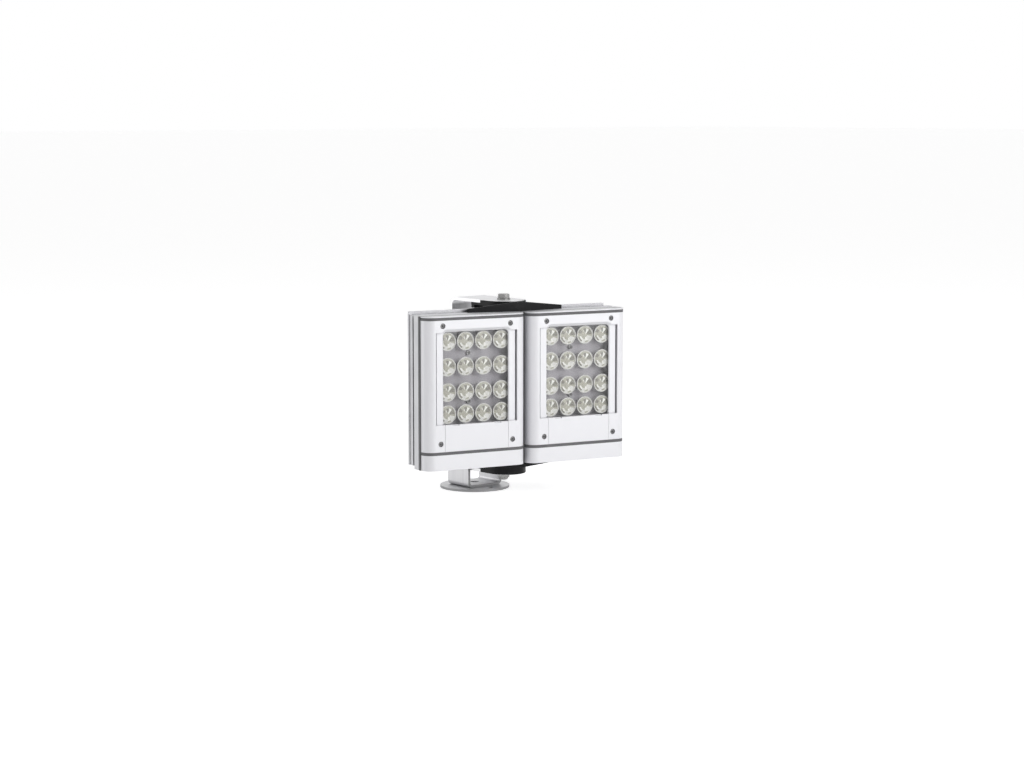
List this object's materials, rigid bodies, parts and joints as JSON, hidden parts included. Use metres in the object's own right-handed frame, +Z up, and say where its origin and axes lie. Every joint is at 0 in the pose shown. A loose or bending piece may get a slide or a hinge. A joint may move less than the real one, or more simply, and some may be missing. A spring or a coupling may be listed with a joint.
{
  "type": "led flood light",
  "caption": "Twin-head led flood light: two lensed lamp heads side by side on wing plates, carried by a stainless bracket that pans and tilts on a folded foot.",
  "frame": {"origin": "centre of the foot's underside, midway between its two mounting holes", "axes": "+Z up away from the surface that the foot is bolted to, +X across the arms and parallel to the tilt bolt, -Y the way the bracket's arms point; the lamp heads are stored turned 12 degrees towards -X"},
  "size_m": [0.2722, 0.1865, 0.2416],
  "materials": {
    "stainless": "brushed",
    "fastener": "turned",
    "black_plate": "glossy",
    "coated_alloy": "satin",
    "white_coat": "satin",
    "seal": "matte",
    "clear_pane": "polished",
    "lens": "polished",
    "board": "satin",
    "emitter": "matte",
    "gland": "matte"
  },
  "bodies": {
    "foot": {"foot_bracket": "stainless", "tilt_bolt": "fastener", "tilt_nut": "fastener", "tilt_washers": "fastener"},
    "bracket": {"u_bracket": "stainless", "top_pivot_pad": "black_plate", "bottom_pivot_pad": "black_plate", "top_pan_bolt": "fastener", "bottom_pan_bolt": "fastener", "pan_nuts": "fastener", "pan_washers": "fastener"},
    "heads": {"top_wing_plate": "black_plate", "bottom_wing_plate": "black_plate", "wing_screws": "fastener", "wing_stop_pins": "black_plate", "left_heat_sink": "coated_alloy", "left_seal_frame": "seal", "left_front_cover": "white_coat", "left_top_cap": "white_coat", "left_top_seal": "seal", "left_lower_seal": "seal", "left_bottom_cap": "white_coat", "left_cap_screws": "fastener", "left_window": "clear_pane", "left_lower_panel": "white_coat", "left_cover_screws": "fastener", "left_led_board": "board", "left_board_screws": "fastener", "left_led_chips": "emitter", "left_wiring_board": "board", "left_lenses": "lens", "left_gland_body": "gland", "left_gland_nut": "gland", "right_heat_sink": "coated_alloy", "right_seal_frame": "seal", "right_front_cover": "white_coat", "right_top_cap": "white_coat", "right_top_seal": "seal", "right_lower_seal": "seal", "right_bottom_cap": "white_coat", "right_cap_screws": "fastener", "right_window": "clear_pane", "right_lower_panel": "white_coat", "right_cover_screws": "fastener", "right_led_board": "board", "right_board_screws": "fastener", "right_led_chips": "emitter", "right_wiring_board": "board", "right_lenses": "lens", "right_gland_body": "gland", "right_gland_nut": "gland"}
  },
  "joints": [
    {"name": "tilt", "type": "hinge", "parent": "foot", "child": "bracket", "pos_m": [0, 0, 0.041], "axis": [1, 0, 0], "range_deg": [-90, 8]},
    {"name": "pan", "type": "hinge", "parent": "bracket", "child": "heads", "pos_m": [0, -0.056, 0.1335], "axis": [0, 0, 1], "range_deg": [-48, 72]}
  ]
}
